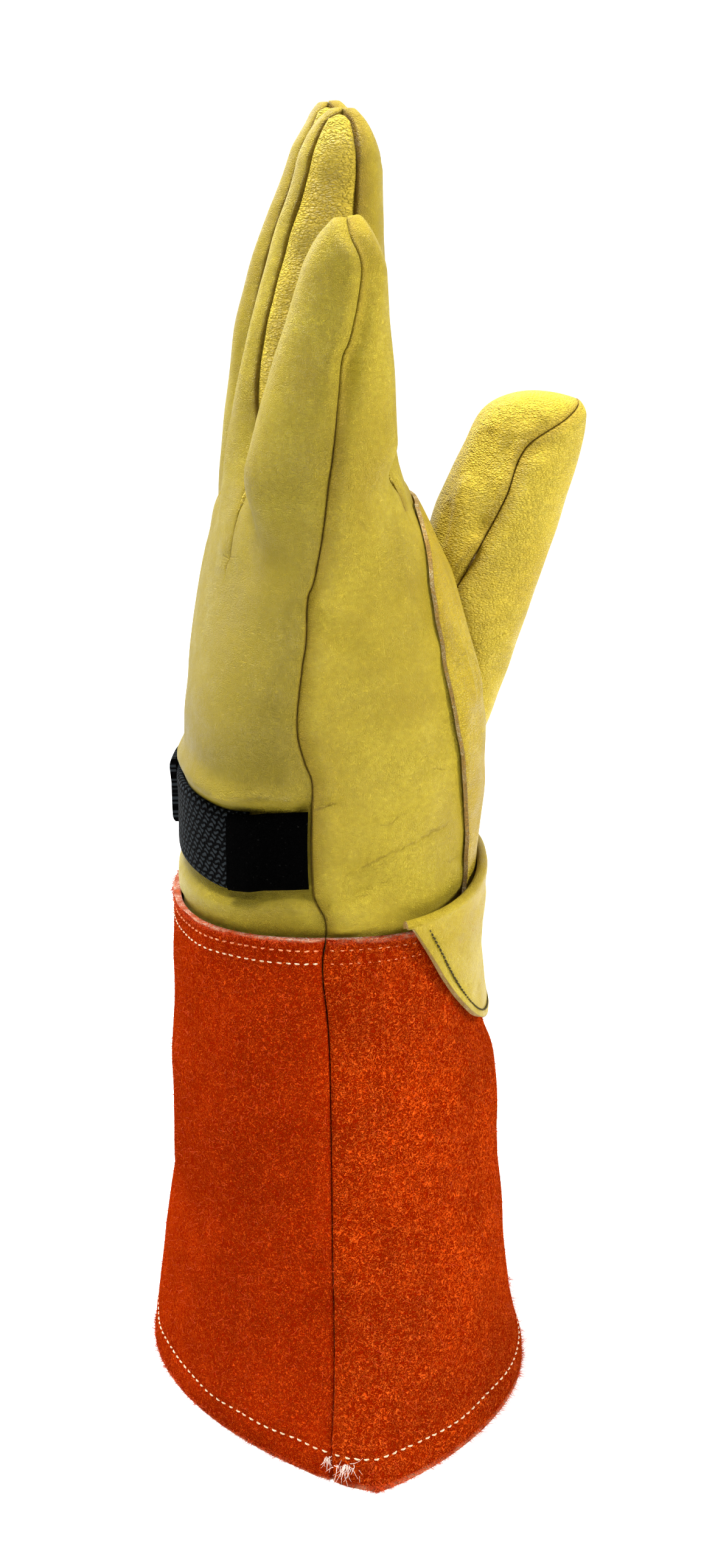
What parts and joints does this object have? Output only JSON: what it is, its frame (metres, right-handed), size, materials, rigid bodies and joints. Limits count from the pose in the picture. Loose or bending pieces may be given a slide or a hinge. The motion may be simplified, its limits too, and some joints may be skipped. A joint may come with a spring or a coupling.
{
  "type": "leather protector glove",
  "caption": "Right-hand leather protector glove with a flared suede gauntlet cuff and a webbing strap round the back of the wrist, worn over a rubber insulating glove.",
  "frame": {"origin": "middle of the outline, on the plane that the rim of the cuff stands on", "axes": "+Z from the rim towards the fingertips, +X out of the palm, -X out of the back of the hand, -Y towards the little finger and +Y towards the thumb side"},
  "size_m": [0.1286, 0.1454, 0.3574],
  "materials": {
    "leather": "smooth golden-yellow grain leather",
    "grained_leather": "golden-yellow leather with a pebbled grain",
    "suede": "brushed orange suede",
    "webbing": "ribbed charcoal webbing",
    "pile": "black looped pile"
  },
  "bodies": {
    "root": {"back_panel": "leather", "palm_panel": "leather", "fourchette_little_ring": "grained_leather", "fourchette_ring_middle": "grained_leather", "fourchette_middle_index": "grained_leather", "thumb_front": "grained_leather", "thumb_back": "grained_leather", "palm_patch": "grained_leather", "wrist_tab": "leather", "cuff_back": "suede", "cuff_palm": "suede", "wrist_strap": "webbing", "strap_tail": "webbing", "strap_patch": "pile"}
  },
  "joints": []
}
